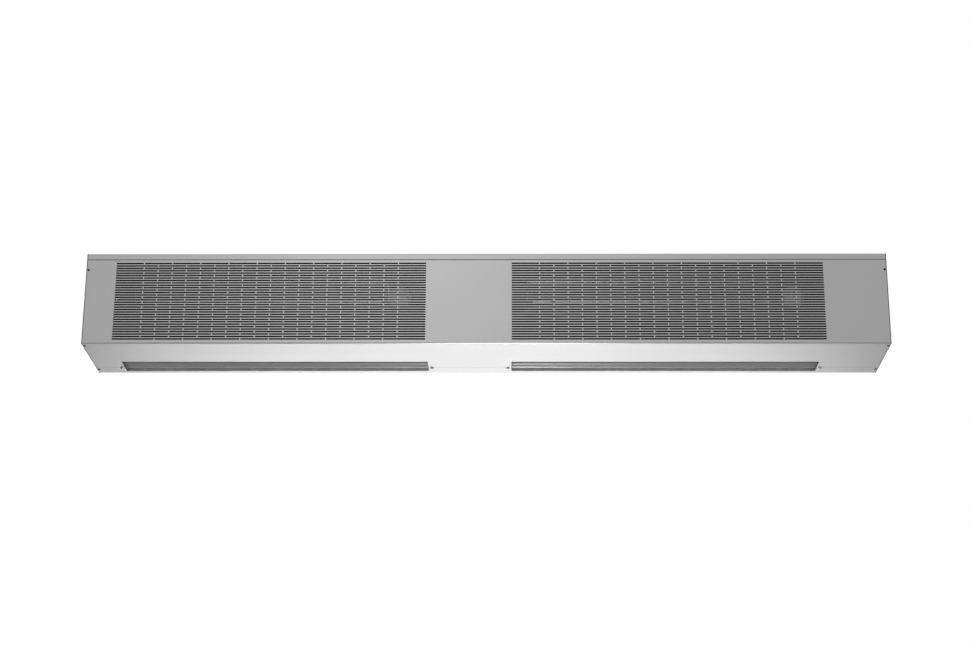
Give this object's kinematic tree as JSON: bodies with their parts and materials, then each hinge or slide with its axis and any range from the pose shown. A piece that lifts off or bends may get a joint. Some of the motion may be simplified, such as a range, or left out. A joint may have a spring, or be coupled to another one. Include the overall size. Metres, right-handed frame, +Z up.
{
  "type": "air curtain",
  "caption": "Long box-shaped air curtain with slotted front intakes, cross-flow fan wheels, finned heaters and vaned bottom outlets.",
  "frame": {"origin": "middle of the wall bolt pattern, on the back face that lies on the wall", "axes": "+X along the casing to its control end, +Y into the wall, +Z up"},
  "size_m": [2.02, 0.2416, 0.2462],
  "materials": {
    "casing_steel": "brushed stainless sheet, grain along the length",
    "screw_steel": "stainless",
    "black_steel": "blackened",
    "zinc_sheet": "zinc-coated sheet",
    "aluminium": "plain rolled",
    "vane_aluminium": "satin extrusion",
    "heater_steel": "heat-tinted steel",
    "shaft_steel": "ground",
    "motor_grey": "painted",
    "bronze": "sintered",
    "black_rubber": "moulded",
    "black_plastic": "moulded",
    "grey_plastic": "moulded",
    "brown_plastic": "moulded",
    "white_plastic": "moulded",
    "cable_sleeve": "woven sleeve"
  },
  "bodies": {
    "casing": {"rear_casing": "casing_steel", "front_cover": "casing_steel", "end_panel_left": "casing_steel", "end_panel_right": "casing_steel", "cover_screws": "screw_steel", "front_screws": "black_steel", "corner_screws": "black_steel", "cable_grommet": "black_rubber", "heater_nuts_left": "zinc_sheet", "heater_nuts_right": "zinc_sheet", "motor_bracket_left": "zinc_sheet", "motor_bracket_right": "zinc_sheet", "capacitor_left": "white_plastic", "capacitor_right": "white_plastic", "thermal_cutout_left": "brown_plastic", "thermal_cutout_right": "brown_plastic", "control_plate": "zinc_sheet", "terminal_block": "grey_plastic", "contactor": "black_plastic", "wiring_loom": "cable_sleeve", "bulkhead_left_outer": "zinc_sheet", "bulkhead_left_inner": "zinc_sheet", "bulkhead_right_inner": "zinc_sheet", "bulkhead_right_outer": "zinc_sheet", "scroll_left": "zinc_sheet", "tongue_left": "zinc_sheet", "heaters_left": "heater_steel", "heater_comb_left": "zinc_sheet", "motor_lead_left": "black_plastic", "bearing_left": "bronze", "bearing_rubber_left": "black_rubber", "motor_left": "motor_grey", "vane_bushes_left": "black_plastic", "scroll_right": "zinc_sheet", "tongue_right": "zinc_sheet", "heaters_right": "heater_steel", "heater_comb_right": "zinc_sheet", "motor_lead_right": "black_plastic", "bearing_right": "bronze", "bearing_rubber_right": "black_rubber", "motor_right": "motor_grey", "vane_bushes_right": "black_plastic"},
    "fan_wheel_left": {"fan_wheel_left": "aluminium", "wheel_shafts_left": "shaft_steel"},
    "vane_left_front": {"vane_left_front": "vane_aluminium", "vane_pins_left_front": "black_plastic"},
    "vane_left_rear": {"vane_left_rear": "vane_aluminium", "vane_pins_left_rear": "black_plastic"},
    "vane_link_left": {"vane_link_left": "zinc_sheet"},
    "fan_wheel_right": {"fan_wheel_right": "aluminium", "wheel_shafts_right": "shaft_steel"},
    "vane_right_front": {"vane_right_front": "vane_aluminium", "vane_pins_right_front": "black_plastic"},
    "vane_right_rear": {"vane_right_rear": "vane_aluminium", "vane_pins_right_rear": "black_plastic"},
    "vane_link_right": {"vane_link_right": "zinc_sheet"}
  },
  "joints": [
    {"name": "fan_wheel_left_spin", "type": "hinge", "parent": "casing", "child": "fan_wheel_left", "pos_m": [-0.542, -0.125, 0.025], "axis": [1, 0, 0], "continuous": true},
    {"name": "vane_left_front_tilt", "type": "hinge", "parent": "casing", "child": "vane_left_front", "pos_m": [-0.542, -0.068, -0.1055], "axis": [1, 0, 0], "range_deg": [-25, 25]},
    {"name": "vane_left_rear_tilt", "type": "hinge", "parent": "casing", "child": "vane_left_rear", "pos_m": [-0.542, -0.043, -0.1055], "axis": [1, 0, 0], "range_deg": [-25, 25]},
    {"name": "vane_link_left_pivot", "type": "hinge", "parent": "vane_left_front", "child": "vane_link_left", "pos_m": [-0.542, -0.068, -0.0965], "axis": [1, 0, 0], "range_deg": [-25, 25]},
    {"name": "fan_wheel_right_spin", "type": "hinge", "parent": "casing", "child": "fan_wheel_right", "pos_m": [0.458, -0.125, 0.025], "axis": [1, 0, 0], "continuous": true},
    {"name": "vane_right_front_tilt", "type": "hinge", "parent": "casing", "child": "vane_right_front", "pos_m": [0.458, -0.068, -0.1055], "axis": [1, 0, 0], "range_deg": [-25, 25]},
    {"name": "vane_right_rear_tilt", "type": "hinge", "parent": "casing", "child": "vane_right_rear", "pos_m": [0.458, -0.043, -0.1055], "axis": [1, 0, 0], "range_deg": [-25, 25]},
    {"name": "vane_link_right_pivot", "type": "hinge", "parent": "vane_right_front", "child": "vane_link_right", "pos_m": [0.458, -0.068, -0.0965], "axis": [1, 0, 0], "range_deg": [-25, 25]}
  ],
  "couplings": [
    {"joint": "vane_left_rear_tilt", "follows": "vane_left_front_tilt", "ratio": 1},
    {"joint": "vane_link_left_pivot", "follows": "vane_left_front_tilt", "ratio": -1},
    {"joint": "vane_right_rear_tilt", "follows": "vane_right_front_tilt", "ratio": 1},
    {"joint": "vane_link_right_pivot", "follows": "vane_right_front_tilt", "ratio": -1}
  ]
}
